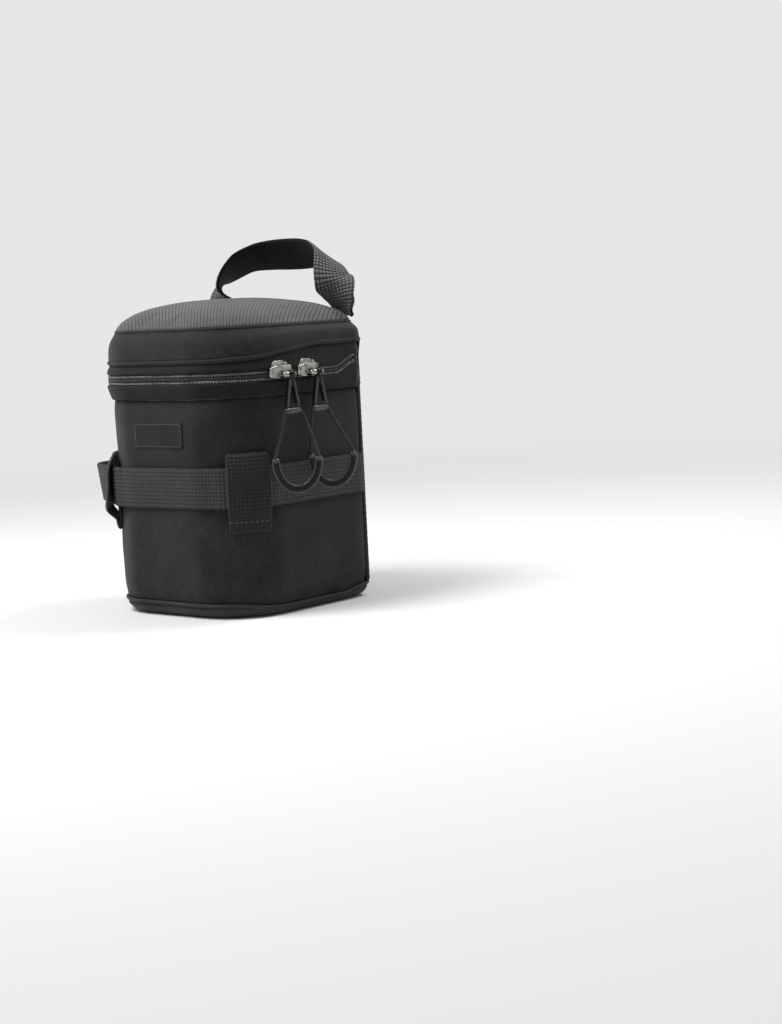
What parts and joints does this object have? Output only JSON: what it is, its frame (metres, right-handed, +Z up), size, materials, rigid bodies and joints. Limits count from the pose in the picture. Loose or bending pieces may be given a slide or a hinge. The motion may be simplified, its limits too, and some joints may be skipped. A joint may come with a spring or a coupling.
{
  "type": "lens pouch",
  "caption": "Padded fabric pouch for a camera lens: domed lid hinged at the rear, zip round front and sides, webbing handle, waist band in keeper loops, straps on the back.",
  "frame": {"origin": "centre of the body on the underside of the base", "axes": "+Z up, +Y out of the flat back, -Y the front, +X the side with the zip sliders"},
  "size_m": [0.1458, 0.1094, 0.1809],
  "materials": {
    "body_fabric": "closely woven matt charcoal cloth",
    "lid_fabric": "ribbed charcoal cloth",
    "piping": "black bound piping",
    "webbing": "coarse woven black webbing",
    "foam": "closed cell foam between cloths",
    "lining": "soft brushed grey lining",
    "zip_tape": "black zip tape",
    "zip_coil": "black coil, slight gloss",
    "label": "plain woven label",
    "bright_metal": "bright plated",
    "snap_cap": "black enamel",
    "moulded": "black moulded, satin",
    "cord": "black braided cord"
  },
  "bodies": {
    "pouch": {"outer_wall": "body_fabric", "back_panel": "body_fabric", "back_seam_left": "piping", "back_seam_right": "piping", "base_panel": "body_fabric", "base_foam": "foam", "base_lining": "lining", "base_piping": "piping", "wall_foam": "foam", "wall_lining": "lining", "lower_zip_tape": "zip_tape", "lower_zip_coil": "zip_coil", "zip_stop_left": "bright_metal", "zip_stop_right": "bright_metal", "waist_band": "webbing", "keeper_left": "webbing", "keeper_right": "webbing", "front_label": "label", "back_webbing_upper": "webbing", "back_webbing_lower": "webbing", "snap_stud_left": "bright_metal", "snap_stud_right": "bright_metal"},
    "lid": {"lid_top": "lid_fabric", "lid_gusset": "body_fabric", "lid_upper_piping": "piping", "lid_lower_piping": "piping", "lid_foam": "foam", "lid_lining": "lining", "upper_zip_tape": "zip_tape", "upper_zip_coil": "zip_coil", "hinge_flap": "body_fabric"},
    "handle": {"handle": "webbing"},
    "slider_front": {"slider_front": "bright_metal"},
    "tab_front": {"pull_tab_front": "moulded"},
    "loop_front": {"pull_cord_front": "cord", "pull_grip_front": "moulded"},
    "slider_rear": {"slider_rear": "bright_metal"},
    "tab_rear": {"pull_tab_rear": "moulded"},
    "loop_rear": {"pull_cord_rear": "cord", "pull_grip_rear": "moulded"},
    "strap_left": {"strap_left": "webbing", "snap_cap_left": "snap_cap"},
    "strap_right": {"strap_right": "webbing", "snap_cap_right": "snap_cap"}
  },
  "joints": [
    {"name": "lid_hinge", "type": "hinge", "parent": "pouch", "child": "lid", "pos_m": [0, 0.0484, 0.1196], "axis": [-1, 0, 0], "range_deg": [0, 105]},
    {"name": "handle_fold", "type": "hinge", "parent": "lid", "child": "handle", "pos_m": [0, 0.0484, 0.1402], "axis": [-1, 0, 0], "range_deg": [0, 65]},
    {"name": "front_slider_travel", "type": "hinge", "parent": "pouch", "child": "slider_front", "pos_m": [0.019, -0.019, 0.1145], "axis": [0, 0, -1], "range_deg": [0, 85]},
    {"name": "rear_slider_travel", "type": "slide", "parent": "pouch", "child": "slider_rear", "axis": [0, 1, 0], "range_m": [0, 0.012]},
    {"name": "front_tab_swing", "type": "hinge", "parent": "slider_front", "child": "tab_front", "pos_m": [0.0558, -0.0151, 0.1145], "axis": [0, -1, 0], "range_deg": [0, 120]},
    {"name": "front_loop_swing", "type": "hinge", "parent": "tab_front", "child": "loop_front", "pos_m": [0.0558, -0.0151, 0.0972], "axis": [0, -1, 0], "range_deg": [0, 90]},
    {"name": "rear_tab_swing", "type": "hinge", "parent": "slider_rear", "child": "tab_rear", "pos_m": [0.0558, 0.0043, 0.1145], "axis": [0, -1, 0], "range_deg": [0, 120]},
    {"name": "rear_loop_swing", "type": "hinge", "parent": "tab_rear", "child": "loop_rear", "pos_m": [0.0558, 0.0043, 0.0972], "axis": [0, -1, 0], "range_deg": [0, 90]},
    {"name": "strap_left_open", "type": "hinge", "parent": "pouch", "child": "strap_left", "pos_m": [-0.022, 0.0514, 0.097], "axis": [-1, 0, 0], "range_deg": [-100, 0]},
    {"name": "strap_right_open", "type": "hinge", "parent": "pouch", "child": "strap_right", "pos_m": [0.022, 0.0514, 0.097], "axis": [-1, 0, 0], "range_deg": [-100, 0]}
  ]
}
